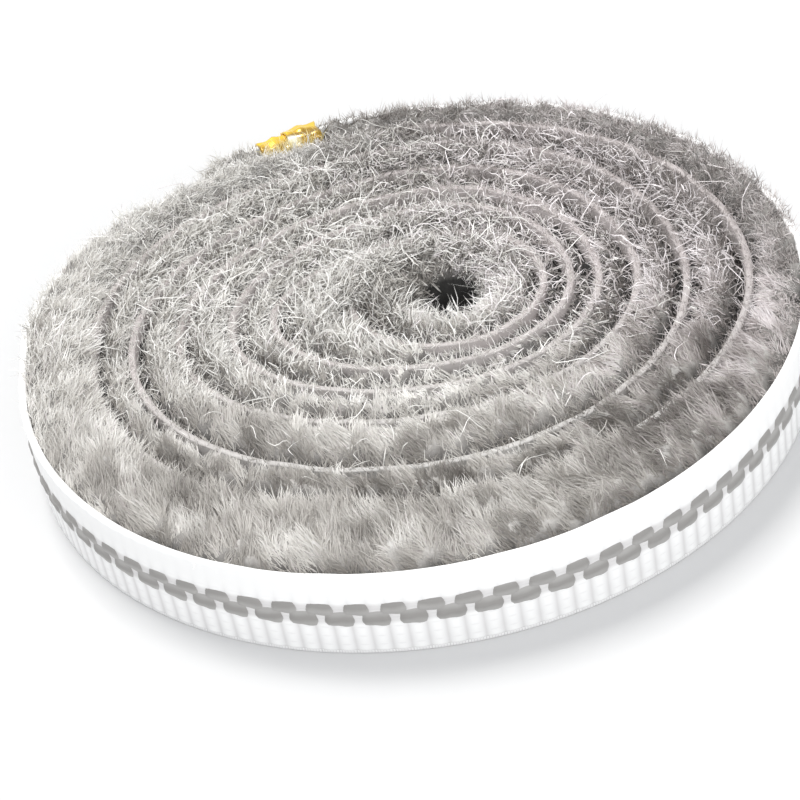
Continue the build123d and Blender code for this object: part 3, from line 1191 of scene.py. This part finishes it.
def twist_tie():
    """The whole tie as one piece."""
    parts = [tie_lap_mesh(-lap_shift, 0, seed=71), tie_lap_mesh(lap_shift, tie_thickness, seed=81)]
    points, faces = joined((*parts, tie_tail_mesh()))
    tie = mesh_piece("foil_twist_tie", points, faces, foil_material(), "foil")
    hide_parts("twist_tie")


# The stage.
floor_colour = (0.60, 0.60, 0.605, 1)
floor_glow = 0.075
sky_colour = (0.965, 0.985, 1, 1)
sky_strength = 0.74

# Soft square lamps, aimed at the origin: name, place, size, watts and colour.
lamps = (
    ("key", (-300, 620, 1440), 600, 19.0, (1.0, 0.99, 0.97)),
    ("fill", (300, -1140, 760), 1200, 9.0, (1.0, 1.0, 1.0)),
)


def floor_material():
    """A pale floor that shows white to the camera and keeps the object's shadow."""
    look = new_looks("floor", Base_Color=floor_colour, Roughness=0.9, Specular_IOR_Level=0.1)
    path = look.add("LightPath").outputs
    seen = look.math("MAXIMUM", path["Is Camera Ray"], path["Is Glossy Ray"])
    glow = look.math("MULTIPLY", seen, floor_glow)
    look.fill(look.shader, Emission_Color=(1, 1, 1, 1), Emission_Strength=glow)
    return look.owner


def floor():
    """A large sheet just under the roll."""
    size, drop = 1500.0, 0.05
    corners = np.array([(-size, -size, 0), (size, -size, 0), (size, size, 0), (-size, size, 0)])
    mesh = bpy.data.meshes.new("floor")
    mesh.from_pydata(((corners + (0, 0, -drop)) * MM).tolist(), [], [(0, 1, 2, 3)])
    mesh.materials.append(floor_material())
    sheet = put("floor", mesh)


def world():
    """Even, slightly cool light, and white behind everything."""
    scene.world = bpy.data.worlds.new("studio")
    sky = Looks(scene.world)
    light = sky.nodes["Background"]
    sky.fill(light, Color=sky_colour, Strength=sky_strength)
    white = sky.add("Background", Color=(1, 1, 1, 1))
    mixed = sky.add("MixShader", Fac=sky.add("LightPath").outputs["Is Camera Ray"])
    sky.join(light.outputs["Background"], mixed.inputs[1])
    sky.join(white.outputs["Background"], mixed.inputs[2])
    sky.fill(sky.nodes["World Output"], Surface=mixed.outputs["Shader"])


def lamp(name, place, size, power, colour):
    """A soft square lamp that shines at the origin."""
    light = bpy.data.lights.new(name, "AREA")
    light.size = size * MM
    light.energy = power
    light.color = colour
    holder = put(name, light)
    holder.location = Vector(place) * MM
    holder.rotation_euler = (-Vector(place)).to_track_quat("-Z", "Y").to_euler()


def camera():
    """The camera at the photograph's place, aim, roll and focal length."""
    middle = Vector((*camera_middle, 0))
    elevation = math.radians(camera_elevation)
    step_back = Vector((0, -math.cos(elevation), math.sin(elevation))) * camera_distance
    place = middle + step_back
    forward = (middle + Vector((*camera_aim, 0)) - place).normalized()
    level = forward.cross(Vector((0, 0, 1))).normalized()
    upright = level.cross(forward)
    roll = math.radians(camera_roll)
    x_axis = level * math.cos(roll) + upright * math.sin(roll)
    y_axis = upright * math.cos(roll) - level * math.sin(roll)
    turn = Matrix((x_axis, y_axis, -forward)).transposed()
    eye = bpy.data.cameras.new("camera")
    eye.lens = focal_length
    eye.sensor_width = sensor_width
    eye.sensor_fit = "HORIZONTAL"
    eye.clip_start = 0.01
    holder = put("camera", eye)
    holder.matrix_world = Matrix.Translation(place * MM) @ turn.to_4x4()
    scene.camera = holder


scene.view_settings.view_transform = "Standard"
camera()
world()
floor()
for settings in lamps:
    lamp(*settings)

yarn = fibre_material()
backing_tape()
stitches()
pile_body()
twist_tie()
for layer in fibre_layers:
    top_fibres(*layer)
stray_fibres("pile_strays", count=9000, seed=104)
fringe_fibres("pile_fringe", seed=105)
edge_fibres("pile_edge_fuzz", count=22000, seed=106)
